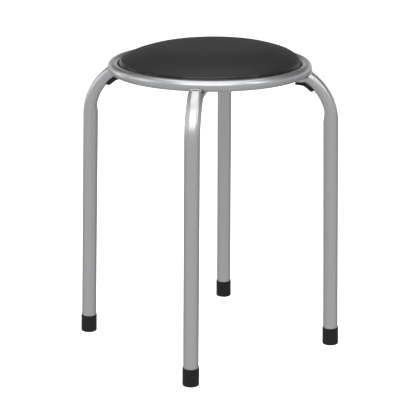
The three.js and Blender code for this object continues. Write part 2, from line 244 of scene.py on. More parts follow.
def cut_away(piece, shape, overlapping=False):
    """Cuts a shape out of a piece. The shape's own parts may overlap if told so."""
    mesh = bpy.data.meshes.new("cutter")
    shape.to_mesh(mesh)
    shape.free()
    cutter = add_object("cutter", mesh)
    cut = piece.modifiers.new("cut", "BOOLEAN")
    cut.operation = "DIFFERENCE"
    cut.solver = "EXACT"
    cut.use_self = overlapping
    cut.object = cutter
    settle(piece)
    bpy.data.objects.remove(cutter)
    finish_mesh(piece.data, crease)


def cut_holes(piece, places, radius, length):
    """Drills round holes, each along the Z axis of its matrix."""
    shape = bmesh.new()
    for place in places:
        bmesh.ops.create_cone(shape, cap_ends=True, segments=drill_sides, radius1=radius, radius2=radius,
                              depth=length, matrix=place)
    cut_away(piece, shape)


def colour(code):
    """A hex sRGB colour as Blender's linear one."""
    shares = [int(code[i:i + 2], 16) / 255 for i in (1, 3, 5)]
    return [s / 12.92 if s <= 0.04045 else ((s + 0.055) / 1.055) ** 2.4 for s in shares] + [1]


def set_node(tree, node, settings):
    """Sets a node's properties and input values, and links sockets or nodes to its inputs."""
    for name, value in settings.items():
        if isinstance(value, bpy.types.Node):
            value = value.outputs[0]
        if isinstance(value, bpy.types.NodeSocket):
            tree.links.new(value, node.inputs[name])
        elif isinstance(name, str) and hasattr(node, name):
            setattr(node, name, value)
        else:
            node.inputs[name].default_value = value
    return node


def add_node(tree, kind, settings=None):
    """Adds a node with its settings and links, each by its name or its input's number."""
    return set_node(tree, tree.nodes.new(kind), settings or {})


def new_material(name, settings):
    """A material with its Principled shader, and the values that are the same all over."""
    material = bpy.data.materials.new(name)
    material.use_nodes = True
    tree = material.node_tree
    return material, tree, set_node(tree, tree.nodes["Principled BSDF"], settings)


# Silver paint: a sprayed stoving enamel with fine aluminium flake under its own gloss. It mirrors the
# room softly, sparkles a little, and has the faint orange peel of sprayed paint.
paint_grey = "#a9aaab"
paint_flake_dark = "#9b9c9e"
flake_size = 0.9 * mm  # real flake is finer; this coarse it just shows
cloud_size = 25 * mm
smoothest_paint, roughest_paint = 0.27, 0.36
peel_size = 3.5 * mm
peel_depth = 0.006 * mm

silver_paint, tree, shader = new_material("silver_paint", {"Metallic": 0.86})
spot = add_node(tree, "ShaderNodeTexCoord").outputs["Object"]
flake = add_node(tree, "ShaderNodeTexNoise", {"Vector": spot, "Scale": 1 / flake_size, "Detail": 3.0})
tone = add_node(tree, "ShaderNodeMix", {
    "data_type": "RGBA", 0: flake, 6: colour(paint_flake_dark), 7: colour(paint_grey)})
cloud = add_node(tree, "ShaderNodeTexNoise", {"Vector": spot, "Scale": 1 / cloud_size, "Detail": 4.0})
rough = add_node(tree, "ShaderNodeMapRange", {0: cloud, 3: smoothest_paint, 4: roughest_paint})
peel = add_node(tree, "ShaderNodeTexNoise", {"Vector": spot, "Scale": 1 / peel_size, "Detail": 2.0})
bump = add_node(tree, "ShaderNodeBump", {"Strength": 0.5, "Distance": peel_depth, "Height": peel})
set_node(tree, shader, {"Base Color": tone.outputs[2], "Roughness": rough, "Normal": bump})

screw_radius = 2.5 * mm
peg_radius = 2.6 * mm  # of the stacking pads' pegs
peg_clearance = 0.25 * mm
pad_from = math.radians(42.5)  # angles round the bend that a stacking pad covers
pad_to = math.radians(66)

section_angles = [full_turn * i / tube_sides for i in range(tube_sides)]
peg_centre, peg_out, peg_half = bend_station((pad_from + pad_to) / 2)[:3]
peg_root = peg_centre - peg_out * peg_half
peg_place = Matrix.Translation(peg_root) @ peg_out.to_track_quat("Z", "Y").to_matrix().to_4x4()
screw_place = Matrix.Translation((screw_reach, 0, (frame_top + frame_underside) / 2))
half_turn = Matrix.Rotation(math.pi, 4, "Z")

for name, keeps_top, turn in (("leg_frame_side", True, 0), ("leg_frame_front", False, quarter_turn)):
    stations = frame_stations(keeps_top)
    outside = [[tube_point(place, tube_radius, a) for a in section_angles] for place in stations]
    bore = [[tube_point(place, tube_radius - tube_wall, a) for a in section_angles] for place in stations]
    leg_frame = mesh_piece(name + "_tube", outside + bore[::-1], silver_paint, ends_meet=True)
    cut_holes(leg_frame, (screw_place, half_turn @ screw_place), screw_radius + touch_gap, 3 * tube_radius)
    cut_holes(leg_frame, (peg_place, half_turn @ peg_place), peg_radius + peg_clearance, 4 * tube_wall)
    leg_frame.data.transform(Matrix.Rotation(turn, 4, "Z"))
    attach(leg_frame, body)
    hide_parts(name)


# Welds. Short beads of weld hold the two frames together at their crossing and the seat ring to the
# frames, two to each leg. The torch leaves them rippled, and they are painted over with the frame.

bead_radius = 1.6 * mm
ripple_pitch = 1.7 * mm
ripple_share = 0.13  # height of a ripple, of the bead's radius
lump_share = 0.64  # unevenness along the bead, of its radius
lump_size = 5 * mm
bead_step = 0.25 * mm
bead_sides = 16
end_fullness = 1.02  # over 1, so that a bead doesn't end in a point


def new_tree(name, inputs):
    """A Geometry Nodes tree with a geometry in and out and these named inputs, and the inputs' sockets."""
    tree = bpy.data.node_groups.new(name, "GeometryNodeTree")
    tree.is_modifier = True
    tree.interface.new_socket("Geometry", in_out="INPUT", socket_type="NodeSocketGeometry")
    for label, kind in inputs.items():
        tree.interface.new_socket(label, in_out="INPUT", socket_type="NodeSocket" + kind)
    tree.interface.new_socket("Geometry", in_out="OUTPUT", socket_type="NodeSocketGeometry")
    return tree, add_node(tree, "NodeGroupInput").outputs


def grow(piece, tree, **values):
    """Runs a Geometry Nodes tree on a piece with these inputs, and keeps the result as its mesh."""
    modifier = piece.modifiers.new("shape", "NODES")
    modifier.node_group = tree
    for item in tree.interface.items_tree:
        label = item.name.lower().replace(" ", "_")
        if item.in_out == "INPUT" and label in values:
            modifier[item.identifier] = values[label]
    return settle(piece)


def lines(name, paths):
    """An object of plain lines, for a tree to follow."""
    mesh = bpy.data.meshes.new(name)
    points, edges = [], []
    for path in paths:
        edges += [(len(points) + i, len(points) + i + 1) for i in range(len(path) - 1)]
        points += path
    mesh.from_pydata(points, edges, [])
    return add_object(name, mesh)


def finish_tree(tree, geometry, material):
    """Ends a tree with real geometry in one material."""
    real = add_node(tree, "GeometryNodeRealizeInstances", {0: geometry})
    finished = add_node(tree, "GeometryNodeSetMaterial", {0: real, "Material": material})
    add_node(tree, "NodeGroupOutput", {0: finished})


def finish_tube(tree, given, path, radius):
    """Ends a tree with a round tube of this radius along a path, with the given sides and material."""
    outline = add_node(tree, "GeometryNodeCurvePrimitiveCircle", {
        "Radius": 1.0, "Resolution": given["Sides"]})
    tube = add_node(tree, "GeometryNodeCurveToMesh", {
        "Curve": path, "Profile Curve": outline, "Scale": radius, "Fill Caps": True})
    smoothed = add_node(tree, "GeometryNodeSetShadeSmooth", {0: tube})
    finish_tree(tree, smoothed, given["Material"])


weld_tree, given = new_tree("weld_bead", {
    "Bead radius": "Float", "Ripple pitch": "Float", "Ripple share": "Float", "Lump share": "Float",
    "Step": "Float", "Sides": "Int", "Material": "Material",
})
path = add_node(weld_tree, "GeometryNodeMeshToCurve", {0: given["Geometry"]})
stepped = add_node(weld_tree, "GeometryNodeResampleCurve", {
    "mode": "LENGTH", "Curve": path, "Length": given["Step"]})
values = dict(given.items())
values["along"] = add_node(weld_tree, "GeometryNodeSplineParameter").outputs["Length"]
values["whole"] = add_node(weld_tree, "GeometryNodeSplineLength")
values["lumps"] = add_node(weld_tree, "ShaderNodeTexNoise", {"Scale": 1 / lump_size, "Detail": 1.0})
# The bead's thickness from point to point, each step from values or from earlier steps.
for name, operation, *terms in (
    ("turned", "MULTIPLY", "along", full_turn),
    ("phase", "DIVIDE", "turned", "Ripple pitch"),
    ("wave", "SINE", "phase"),
    ("ripple", "MULTIPLY", "wave", "Ripple share"),
    ("uneven", "SUBTRACT", "lumps", 0.5),
    ("lump", "MULTIPLY", "uneven", "Lump share"),
    ("bumps", "ADD", "ripple", "lump"),
    ("thick", "ADD", 1.0, "bumps"),
    ("to end", "SUBTRACT", "whole", "along"),
    ("from end", "MINIMUM", "along", "to end"),
    ("end part", "DIVIDE", "from end", "Bead radius"),
    ("capped", "MINIMUM", 1.0, "end part"),
    ("short of", "SUBTRACT", 1.0, "capped"),
    ("squared", "MULTIPLY", "short of", "short of"),
    ("remaining", "SUBTRACT", end_fullness, "squared"),
    ("round end", "SQRT", "remaining"),
    ("rounded", "MULTIPLY", "round end", "thick"),
    ("size", "MULTIPLY", "rounded", "Bead radius"),
):
    inputs = {number: values.get(term, term) for number, term in enumerate(terms)}
    values[name] = add_node(weld_tree, "ShaderNodeMath", {"operation": operation, **inputs})
finish_tube(weld_tree, given, stepped, values["size"])


def weld(name, paths, radius):
    """Weld beads along these paths, as one piece."""
    beads = grow(lines(name, paths), weld_tree, bead_radius=radius, ripple_pitch=ripple_pitch,
                 ripple_share=ripple_share, lump_share=lump_share, step=bead_step, sides=bead_sides,
                 material=silver_paint)
    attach(beads, body)


crossing_bead = 1.8 * mm
crossing_reach = flat_half_width(lap_thickness / 2) + 0.6 * mm  # to the beads beside the frame that crosses
crossing_length = 22 * mm
crossing_rise = 0.42 * pressed_thickness
paths = []
for side in (-1, 1):
    ends = (-crossing_length / 2, crossing_length / 2)
    paths.append([Vector((side * crossing_reach, end, frame_underside + crossing_rise)) for end in ends])
    paths.append([Vector((end, side * crossing_reach, frame_top - crossing_rise)) for end in ends])
weld("crossing_welds", paths, crossing_bead)


# Seat ring. A length of 16 mm steel tube rolled into a circle and butt-welded, which the seat pad drops
# into. It lies on the pressed flats of the frames and is welded to them, and is painted with them.

ring_low, ring_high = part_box("seat_ring")
ring_height = (ring_low.z + ring_high.z) / 2
ring_turns = 288
ring_sides = 56

ring_tree, given = new_tree("rolled_ring", {
    "Ring radius": "Float", "Tube radius": "Float", "Height": "Float", "Turns": "Int", "Sides": "Int",
    "Material": "Material",
})
circle = add_node(ring_tree, "GeometryNodeCurvePrimitiveCircle", {
    "Resolution": given["Turns"], "Radius": given["Ring radius"]})
lift = add_node(ring_tree, "ShaderNodeCombineXYZ", {"Z": given["Height"]})
raised = add_node(ring_tree, "GeometryNodeTransform", {"Geometry": circle, "Translation": lift})
finish_tube(ring_tree, given, raised, given["Tube radius"])

seat_ring = lines("seat_ring_tube", [[Vector(), Vector((mm, 0, 0))]])
grow(seat_ring, ring_tree, ring_radius=ring_radius, tube_radius=ring_tube_radius, height=ring_height,
     turns=ring_turns, sides=ring_sides, material=silver_paint)
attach(seat_ring, body)
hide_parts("seat_ring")

bead_lift = 0.5 * mm  # from the tubes' surfaces out to the middle of a bead
nip_half_length = 8.2 * mm
nip_steps = 16
inner_inset = 5.6 * mm  # of the bead inside the ring, from the middle of the ring's tube
inner_rise = 1.2 * mm  # of that bead, above the frame's flat top


def nip_point(beside, outwards):
    """The middle of a bead in the nip between the ring and a bend, this far from the frame's plane."""
    half = bend_station(hollow_from)[2]
    low_side = half - math.sqrt(max(0, 1 - (beside / tube_radius) ** 2)) * half
    ring_point = Vector((math.sqrt(ring_radius ** 2 - beside ** 2), ring_height))
    if not outwards:
        return Vector((ring_point.x - inner_inset, beside, frame_top + inner_rise - low_side / 2))
    to_bend = Vector((bend_reach, bend_height)) - ring_point
    ring_away, bend_away = ring_tube_radius + bead_lift, bend_outer + bead_lift - low_side
    down = (ring_away ** 2 - bend_away ** 2 + to_bend.length_squared) / (2 * to_bend.length)
    out = math.sqrt(max(0, ring_away ** 2 - down ** 2))
    to_bend.normalize()
    spot = ring_point + to_bend * down + Vector((-to_bend.y, to_bend.x)) * out
    return Vector((spot.x, beside, spot.y))


paths = []
for leg in range(legs):
    for outwards in (False, True):
        besides = [nip_half_length * (2 * i / nip_steps - 1) for i in range(nip_steps + 1)]
        place = Matrix.Rotation(leg * quarter_turn, 4, "Z")
        paths.append([place @ nip_point(beside, outwards) for beside in besides])
weld("ring_welds", paths, bead_radius)

joint_angle = 3 * quarter_turn / 2
joint_bead = 1.5 * mm
joint_sink = 0.9 * mm  # how deep the bead's middle lies in the tube, which leaves it low
joint_out = Vector((math.cos(joint_angle), math.sin(joint_angle), 0))
joint_radius = ring_tube_radius - joint_sink
joint_steps = 40
joint_path = []
for i in range(joint_steps + 1):
    angle = full_turn * i / joint_steps
    centre = joint_out * (ring_radius + joint_radius * math.cos(angle))
    joint_path.append(centre + Vector((0, 0, ring_height + joint_radius * math.sin(angle))))
weld("ring_joint_weld", [joint_path], joint_bead)


# Foot caps. Each leg stands in a cap of soft black polythene, pushed over the end of the tube. It is
# moulded, with a thin lip, a rounded foot and a shallow ring under it that grips the floor.

cap_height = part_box("foot_cap_right")[1].z
cap_radius = 12.15 * mm
cap_clearance = 0.25 * mm
cap_floor = 3 * mm
cap_edge = 1.3 * mm  # rounding at the foot
cap_lip = 0.4 * mm  # rounding at the top
groove_radius = 7.6 * mm
groove_width = 1.6 * mm
groove_depth = 0.6 * mm
cap_sides = 96
arc_steps = 6

# Polythene: moulded, satin black, with the fine even bloom of a spark-eroded mould.
bloom_size = 6 * mm
cap_grain = 0.5 * mm
grain_depth = 0.02 * mm

black_polythene, tree, shader = new_material("black_polythene", {
    "Roughness": 0.55, "IOR": 1.51, "Specular IOR Level": 0.2})
spot = add_node(tree, "ShaderNodeTexCoord").outputs["Object"]
bloom = add_node(tree, "ShaderNodeTexNoise", {"Vector": spot, "Scale": 1 / bloom_size, "Detail": 3.0})
tone = add_node(tree, "ShaderNodeMix", {
    "data_type": "RGBA", 0: bloom, 6: colour("#0c0c0d"), 7: colour("#141415")})
grain = add_node(tree, "ShaderNodeTexNoise", {"Vector": spot, "Scale": 1 / cap_grain, "Detail": 2.0})
bump = add_node(tree, "ShaderNodeBump", {"Strength": 0.35, "Distance": grain_depth, "Height": grain})
set_node(tree, shader, {"Base Color": tone.outputs[2], "Normal": bump})


def arc(centre, radius, start, end, steps=arc_steps):
    """Points of an arc in a profile of (radius, height), between two angles in quarter turns."""
    points = []
    for i in range(steps + 1):
        angle = quarter_turn * (start + (end - start) * i / steps)
        points.append((centre[0] + radius * math.cos(angle), centre[1] + radius * math.sin(angle)))
    return points


def turned_rows(profile, sides):
    """A profile of (radius, height) points turned round the Z axis."""
    return [
        [Vector((radius * math.cos(a), radius * math.sin(a), height))
         for a in (full_turn * i / sides for i in range(sides))]
        for radius, height in profile
    ]


round_tree, given = new_tree("set_round_the_seat", {
    "Count": "Int", "Radius": "Float", "First turn": "Float", "Turn jitter": "Float",
    "Radius jitter": "Float", "Keep clear": "Float", "Seed": "Int", "Material": "Material",
})
at = add_node(round_tree, "GeometryNodeInputPosition")
apart = add_node(round_tree, "ShaderNodeSeparateXYZ", {0: at}).outputs
values = dict(given.items())
values.update({"index": add_node(round_tree, "GeometryNodeInputIndex"), "X": apart["X"], "Y": apart["Y"]})
for jitter in ("Radius jitter", "Turn jitter"):
    least = add_node(round_tree, "ShaderNodeMath", {"operation": "MULTIPLY", 0: given[jitter], 1: -1.0})
    values["random " + jitter] = add_node(round_tree, "FunctionNodeRandomValue", {
        "data_type": "FLOAT", 2: least, 3: given[jitter], "Seed": given["Seed"]}).outputs[1]
# Where each copy goes and which way it faces, each step from values or from earlier steps.
for name, operation, *terms in (
    ("turn each", "DIVIDE", full_turn, "Count"),
    ("turned", "MULTIPLY", "index", "turn each"),
    ("turn", "ADD", "turned", "First turn"),
    ("reach", "ADD", "Radius", "random Radius jitter"),
    ("cosine", "COSINE", "turn"),
    ("sine", "SINE", "turn"),
    ("to X", "MULTIPLY", "reach", "cosine"),
    ("to Y", "MULTIPLY", "reach", "sine"),
    ("beside Y", "ABSOLUTE", "X"),
    ("beside X", "ABSOLUTE", "Y"),
    ("nearest", "MINIMUM", "beside Y", "beside X"),
    ("blocked", "LESS_THAN", "nearest", "Keep clear"),
    ("facing", "ADD", "turn", "random Turn jitter"),
):
    inputs = {number: values.get(term, term) for number, term in enumerate(terms)}
    values[name] = add_node(round_tree, "ShaderNodeMath", {"operation": operation, **inputs})
place = add_node(round_tree, "ShaderNodeCombineXYZ", {"X": values["to X"], "Y": values["to Y"]})
points = add_node(round_tree, "GeometryNodePoints", {"Count": given["Count"], "Position": place})
facing = add_node(round_tree, "FunctionNodeAxisAngleToRotation", {
    "Axis": (0, 0, 1), "Angle": values["facing"]})
set_out = add_node(round_tree, "GeometryNodeInstanceOnPoints", {
    "Points": points, "Instance": given["Geometry"], "Rotation": facing})
kept = add_node(round_tree, "GeometryNodeDeleteGeometry", {
    "domain": "INSTANCE", 0: set_out, 1: values["blocked"]})
finish_tree(round_tree, kept, given["Material"])


def set_round(piece, material, count=legs, **values):
    """Repeats a part round the middle of the seat, once for each leg unless told otherwise."""
    grow(piece, round_tree, count=count, material=material, **values)


bore_radius = tube_radius + cap_clearance
lip_middle = (cap_radius + bore_radius) / 2
inner_side, outer_side = groove_radius - groove_width / 2, groove_radius + groove_width / 2
cap_profile = [(0, 0), (inner_side, 0), (inner_side, groove_depth)]
cap_profile += [(outer_side, groove_depth), (outer_side, 0)]
cap_profile += arc((cap_radius - cap_edge, cap_edge), cap_edge, -1, 0)
cap_profile += arc((lip_middle, cap_height - cap_lip), cap_lip, 0, 2)
cap_profile += [(bore_radius, cap_floor), (0, cap_floor)]
foot_caps = mesh_piece("foot_caps", turned_rows(cap_profile, cap_sides), black_polythene)
lean = Matrix.Translation((foot_reach, 0, 0)) @ Matrix.Rotation(-leg_splay, 4, "Y")
foot_caps.data.transform(lean)
for vertex in foot_caps.data.vertices:  # the cap leans with its leg, but its sole is level
    in_sole = (vertex.co.xy - Vector((foot_reach, 0))).length <= groove_radius + groove_width
    if vertex.co.z < 0 or (in_sole and vertex.co.z < groove_depth / 2):
        vertex.co.z = 0
set_round(foot_caps, black_polythene)
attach(foot_caps, body)
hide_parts("foot_cap_right", "foot_cap_rear", "foot_cap_left", "foot_cap_front")


# Stacking pads. A black plastic saddle sits under each bend, where the stool rests on the frame of the
# one below it in a stack. A peg moulded on its back snaps into a hole in the tube and holds it.

pad_thickness = 4.6 * mm
pad_wrap = math.radians(42)  # how far it reaches up each side of the tube
pad_steps = 56
pad_edge_power = 9  # how square its edges are
pad_round_power = 3  # how round they are in section
pad_rim_share = 0.2  # of its thickness, left at the rim
pad_crease = math.radians(50)
peg_length = 5.4 * mm
peg_head_radius = 3.4 * mm
peg_head_gap = 0.5 * mm  # play between the tube's wall and the peg's head
peg_sides = 32


def pad_rows():
    """The pad's outer face row by row, its thickness rounded off towards every edge, then its inner face."""
    outer, inner = [], []
    angles = [math.pi + pad_wrap * (2 * i / pad_steps - 1) for i in range(pad_steps + 1)]
    for j in range(pad_steps + 1):
        along = 2 * j / pad_steps - 1
        place = bend_station(pad_from + (pad_to - pad_from) * j / pad_steps)
        outer_row, inner_row = [], []
        for i, angle in enumerate(angles):
            around = 2 * i / pad_steps - 1
            edge = max(abs(along), abs(around)) ** pad_edge_power
            height = pad_thickness * max(pad_rim_share, (1 - edge) ** (1 / pad_round_power))
            inner_row.append(tube_point(place, tube_radius + touch_gap, angle))
            outer_row.append(tube_point(place, tube_radius + touch_gap + height, angle))
        outer.append(outer_row)
        inner.append(inner_row)
    return outer, inner


outer, inner = pad_rows()
rows = [o + i[::-1] for o, i in zip(outer, inner)]
stack_pads = mesh_piece("stack_pads", rows, black_polythene)
head_start = tube_wall + peg_head_gap
peg_profile = [(0, -pad_thickness / 2), (peg_radius, -pad_thickness / 2), (peg_radius, head_start)]
peg_profile += [(peg_head_radius, head_start), (peg_radius / 2, peg_length), (0, peg_length)]
peg = mesh_piece("peg", turned_rows(peg_profile, peg_sides), black_polythene)
peg.data.transform(peg_place)
shape = bmesh.new()
shape.from_mesh(stack_pads.data)
bmesh.ops.holes_fill(shape, edges=[edge for edge in shape.edges if edge.is_boundary], sides=0)
shape.from_mesh(peg.data)
shape.to_mesh(stack_pads.data)
shape.free()
bpy.data.objects.remove(peg)
finish_mesh(stack_pads.data, pad_crease)
set_round(stack_pads, black_polythene)
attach(stack_pads, body)
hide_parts("stack_pad_right", "stack_pad_rear", "stack_pad_left", "stack_pad_front")


# Seat board and its nuts. A disc of 9 mm plywood carries the seat, drilled for four pronged nuts that
# are hammered in from above. Only its underside shows, inside the turned-under edge of the cover.

board_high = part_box("seat_board")[1]
board_radius = board_high.x

# Birch plywood: pale rotary-cut face veneer, sanded and unfinished, with long wavy grain.
veneer_light = "#cdb083"
veneer_dark = "#a98452"
grain_width = 4 * mm
grain_stretch = 0.08  # the figure's scale along the grain, of that across it
veneer_depth = 0.08 * mm

birch_plywood, tree, shader = new_material("birch_plywood", {"Roughness": 0.72})
spot = add_node(tree, "ShaderNodeTexCoord").outputs["Object"]
laid = add_node(tree, "ShaderNodeMapping", {"Vector": spot, "Scale": (1, grain_stretch, 1)})
figure = add_node(tree, "ShaderNodeTexNoise", {
    "Vector": laid, "Scale": 1 / grain_width, "Detail": 6.0, "Distortion": 0.8})
spread = add_node(tree, "ShaderNodeMapRange", {0: figure, 1: 0.3, 2: 0.7})
tone = add_node(tree, "ShaderNodeMix", {
    "data_type": "RGBA", 0: spread, 6: colour(veneer_dark), 7: colour(veneer_light)})
bump = add_node(tree, "ShaderNodeBump", {"Strength": 0.4, "Distance": veneer_depth, "Height": figure})
set_node(tree, shader, {"Base Color": tone.outputs[2], "Normal": bump})

# Zinc plate: bright steel passivated to a faint blue, with soft cloudy patches.
zinc_patch = 3 * mm
smoothest_zinc, roughest_zinc = 0.22, 0.42

zinc_plate, tree, shader = new_material("zinc_plate", {"Metallic": 1.0})
spot = add_node(tree, "ShaderNodeTexCoord").outputs["Object"]
cloud = add_node(tree, "ShaderNodeTexNoise", {"Vector": spot, "Scale": 1 / zinc_patch, "Detail": 3.0})
tone = add_node(tree, "ShaderNodeMix", {
    "data_type": "RGBA", 0: cloud, 6: colour("#a9adb5"), 7: colour("#c9cbcd")})
rough = add_node(tree, "ShaderNodeMapRange", {0: cloud, 3: smoothest_zinc, 4: roughest_zinc})
set_node(tree, shader, {"Base Color": tone.outputs[2], "Roughness": rough})

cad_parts["seat_board"].material_slots[0].material = birch_plywood
for leg in ("right", "rear", "left", "front"):
    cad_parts["seat_nut_" + leg].material_slots[0].material = zinc_plate


# Seat pad. A cover of black vinyl leathercloth is pulled down over a disc of foam and turned under the
# board. The pull and the foam's push shape its crown, with faint puckers where the edge is gathered.

cover_thickness = 0.9 * mm
cover_low, cover_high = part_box("seat_cover")
cover_radius = 134.4 * mm
cover_hem = 20 * mm  # width turned under the board
crown_start = board_high.z + 1.6 * mm  # where the pad is widest
crown_height = cover_high.z - crown_start
crown_side_power = 4  # how square the crown's shoulder is across
crown_top_power = 2.0  # and upwards
hem_turn = 1.5 * mm  # rounding where the cover turns under the board
hem_steps = 4
cover_edge = board_radius + cover_thickness + touch_gap
row_spacing = 4.2 * mm
seat_sides = 192
swell_room = 0.8 * mm  # how far the pad may swell out of its starting shape
cover_crease = math.radians(80)
swell_columns = 12  # columns on each side that even out the swelling round the seat
foam_push = 4  # its pressure on the cover, for the cloth simulation
cloth_quality = 6
cloth_steps = 20

# Leathercloth: PVC on a knitted back, embossed with a small pebble grain. Satin, so that it shows broad
# soft reflections on the crown and a bright line where it rolls over at the ring.
vinyl_black = "#1b1b1c"
vinyl_deep = "#131314"
pebble = 1.1 * mm
pebble_drift = 4 * mm
pebble_depth = 0.05 * mm
loose_roughness = 0.62
stretched_roughness = 0.22  # where it is pulled tight over the edge
stretch_low, stretch_high = 438 * mm, 439.8 * mm  # heights

black_vinyl, tree, shader = new_material("black_vinyl", {"IOR": 1.52, "Specular IOR Level": 0.28})
spot = add_node(tree, "ShaderNodeTexCoord").outputs["Object"]
warp = add_node(tree, "ShaderNodeTexNoise", {"Vector": spot, "Scale": 1 / pebble_drift, "Detail": 2.0})
cells = add_node(tree, "ShaderNodeTexVoronoi", {
    "feature": "SMOOTH_F1", "Vector": spot, "Scale": 1 / pebble, "Smoothness": 0.4})
grain = add_node(tree, "ShaderNodeMath", {"operation": "MULTIPLY_ADD", 0: cells, 1: -1.0, 2: warp})
tone = add_node(tree, "ShaderNodeMix", {
    "data_type": "RGBA", 0: grain, 6: colour(vinyl_deep), 7: colour(vinyl_black)})
bump = add_node(tree, "ShaderNodeBump", {"Strength": 0.5, "Distance": pebble_depth, "Height": grain})
height = add_node(tree, "ShaderNodeSeparateXYZ", {0: spot}).outputs["Z"]
rough = add_node(tree, "ShaderNodeMapRange", {
    "interpolation_type": "SMOOTHSTEP", 0: height, 1: stretch_low, 2: stretch_high,
    3: stretched_roughness, 4: loose_roughness})
set_node(tree, shader, {"Base Color": tone.outputs[2], "Roughness": rough, "Normal": bump})


def crown_point(share):
    """A point of the crown's profile before it swells, from the middle at 0 to the widest place at 1."""
    across = math.sin(quarter_turn * share) ** (2 / crown_side_power)
    up = max(0, math.cos(quarter_turn * share)) ** (2 / crown_top_power)
    return (cover_radius - swell_room / 4) * across, crown_start + (crown_height - swell_room) * up


def evenly(points, spacing):
    """A line of (radius, height) points stepped out again at one spacing."""
    stepped, left = [points[0]], spacing
    for start, end in zip(points, points[1:]):
        length = math.dist(start, end)
        while length >= left > 0:
            share = left / length
            start = tuple(a + (b - a) * share for a, b in zip(start, end))
            stepped.append(start)
            length -= left
            left = spacing
        left -= length
    return stepped + [points[-1]]


fine_steps = 2000
hem_height = cover_low.z
profile = [crown_point(i / fine_steps) for i in range(fine_steps + 1)]
profile += [(cover_edge, board_high.z), (cover_edge, hem_height + 2 * hem_turn)]
hem_profile = [(cover_edge - hem_turn, hem_height), (board_radius - cover_hem, hem_height)]
cover_rows = evenly(profile, row_spacing)
cover_rows += arc((cover_edge - hem_turn, hem_height + hem_turn), hem_turn, 0, -1, hem_steps)
cover_rows += evenly(hem_profile, row_spacing)[1:]


def simulate(rows):
    """The skin blown up by the foam's push, held where it is pulled down the board's edge."""
    skin = mesh_piece("pad_skin", rows, black_vinyl)
    held = skin.vertex_groups.new(name="held")
    held.add([v.index for v in skin.data.vertices if v.co.z < board_high.z], 1.0, "ADD")
    start = [v.co.copy() for v in skin.data.vertices]
    cloth = skin.modifiers.new("cloth", "CLOTH")
    cloth.settings.vertex_group_mass = "held"
    cloth.settings.use_pressure = True
    cloth.settings.uniform_pressure_force = foam_push
    cloth.settings.quality = cloth_quality
    cloth.settings.effector_weights.gravity = 0
    cloth.collision_settings.use_collision = False
    for step in range(1, cloth_steps + 1):
        bpy.context.scene.frame_set(step)
    settle(skin)
    moves = [v.co - s for v, s in zip(skin.data.vertices, start)]
    bpy.context.scene.frame_set(1)
    points = {tuple(round(c, 7) for c in s): m for s, m in zip(start, moves)}
    bpy.data.objects.remove(skin)
    return points


def evened(row):
    """The swelling of a row, out and up, evened out round the seat and kept within its room."""
    around = range(-swell_columns, swell_columns + 1)
    kept = []
    for i in range(len(row)):
        swell = sum((row[(i + k) % len(row)] for k in around), Vector((0, 0))) / len(around)
        kept.append(swell * min(1, swell_room / max(swell.length, touch_gap)))
    return kept


rows = turned_rows(cover_rows, seat_sides)
moves = simulate(rows)
swollen_rows = []
for row in rows:
    swells = []
    for i, point in enumerate(row):
        move = moves.get(tuple(round(c, 7) for c in point), Vector())
        angle = full_turn * i / seat_sides
        out = move.x * math.cos(angle) + move.y * math.sin(angle)
        swells.append(Vector((out if point.xy.length > touch_gap else 0, move.z)))
    swollen_row = []
    for i, (point, swell) in enumerate(zip(row, evened(swells))):
        angle = full_turn * i / seat_sides
        swollen_row.append(point + Vector((swell.x * math.cos(angle), swell.x * math.sin(angle), swell.y)))
    swollen_rows.append(swollen_row)


def between(rows, index, share):
    """A row on the smooth curve through four rows, this far on from the one at the index."""
    before, start, end, after = (rows[i] for i in (index - 1, index, index + 1, index + 2))
    weights = (
        -share + 2 * share ** 2 - share ** 3, 2 - 5 * share ** 2 + 3 * share ** 3,
        share + 4 * share ** 2 - 3 * share ** 3, share ** 3 - share ** 2,
    )
    return [(a * weights[0] + b * weights[1] + c * weights[2] + d * weights[3]) / 2
            for a, b, c, d in zip(before, start, end, after)]


edge_low, edge_high = 432 * mm, 444 * mm  # heights between which the cover rolls over
edge_steps = 4
cover_lines = []
for i, row in enumerate(swollen_rows):
    cover_lines.append(row)
    if edge_low < row[0].z < edge_high:
        cover_lines += [between(swollen_rows, i, step / edge_steps) for step in range(1, edge_steps)]

ring_clearance = ring_tube_radius + 0.4 * mm
bulge_reach = 134.3 * mm  # the foam pushes the cover's side out to here
bulge_low, bulge_high = 425 * mm, 434 * mm
bulge_start, bulge_end = 2 * mm, 3 * mm  # heights over which it starts below, and ends above
lean_height = 2.0 * mm  # the pad is a little fuller on one side
lean_reach = 110 * mm
tuck_height = 437.6 * mm  # below this the cover is pulled in behind the ring
tuck_drop = 1.6 * mm
tuck_depth = 1.0 * mm
tuck_unevenness = 0.6 * mm
tuck_waves = 5  # how many lie round the seat, about, as for the next ones
rim_from, rim_to = 0.72, 0.97  # shares of the cover's radius between which its rim starts
rim_outwards = 0.5  # how far waves move the rim out, of how far up
wave_height = 0.35 * mm
wave_count = 2.5
wave_width = 60 * mm
wrinkle_height = 0.3 * mm
wrinkle_count = 11
wrinkle_place = math.radians(-50)  # where the gathering shows most, by angle round the seat
wrinkle_from = 0.5  # cosine of how far from there they start
pleat_height = 1.3 * mm
pleat_count = 56
pleat_drift = 1.5  # unevenness of their places
pleat_drift_waves = 3
pleat_sharpness = 3
frame_clearance = 19 * mm  # half the width that a frame takes up under the hem
frame_margin = 6 * mm  # over which the pleats fade beside it


